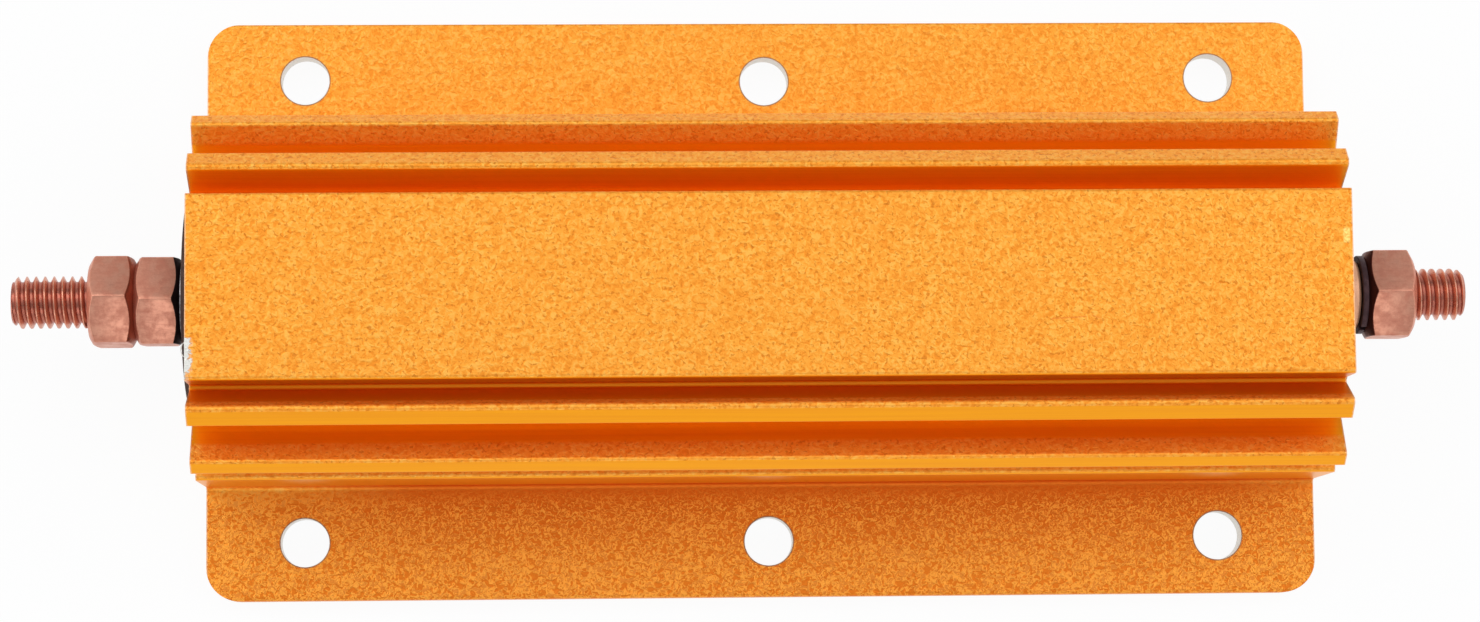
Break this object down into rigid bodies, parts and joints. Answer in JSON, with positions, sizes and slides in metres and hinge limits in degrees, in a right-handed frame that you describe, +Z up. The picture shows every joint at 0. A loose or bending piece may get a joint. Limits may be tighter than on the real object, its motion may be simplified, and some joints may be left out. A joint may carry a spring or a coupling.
{
  "type": "aluminium housed resistor",
  "caption": "Wirewound power resistor potted in a finned gold-anodised aluminium housing, with a drilled mounting flange and a threaded stud terminal at each end.",
  "frame": {"origin": "centre of the flat mounting face under the flange", "axes": "+X along the housing towards the terminal with one nut, +Y across the flange, +Z up out of the mounting face"},
  "size_m": [0.162, 0.066, 0.03],
  "materials": {
    "gold_anodised": "fine blasted gold-orange anodising, bare and glossier in the grooves",
    "potting_cement": "pale set cement, matte",
    "steatite": "off-white fired ceramic, matte",
    "resistance_alloy": "dull grey resistance wire",
    "plated_cap": "pressed and plated steel, satin",
    "black_plate": "black insulating board",
    "grey_washer": "dull grey steel",
    "black_rubber": "black rubber, satin",
    "copper": "bright copper, satin",
    "zinc_steel": "zinc-plated spring steel",
    "coppered_nut": "copper-plated steel, satin",
    "coppered_stud": "copper-plated steel thread, satin"
  },
  "bodies": {
    "root": {"housing": "gold_anodised", "cement_fill": "potting_cement", "ceramic_core": "steatite", "resistance_winding": "resistance_alloy", "left_end_cap": "plated_cap", "right_end_cap": "plated_cap", "left_end_plate": "black_plate", "right_end_plate": "black_plate", "left_flat_washer": "grey_washer", "left_insulating_washer": "black_rubber", "right_copper_collar": "copper", "right_lock_washer": "zinc_steel", "left_inner_nut": "coppered_nut", "left_outer_nut": "coppered_nut", "right_nut": "coppered_nut", "left_terminal_stud": "coppered_stud", "right_terminal_stud": "coppered_stud"}
  },
  "joints": []
}
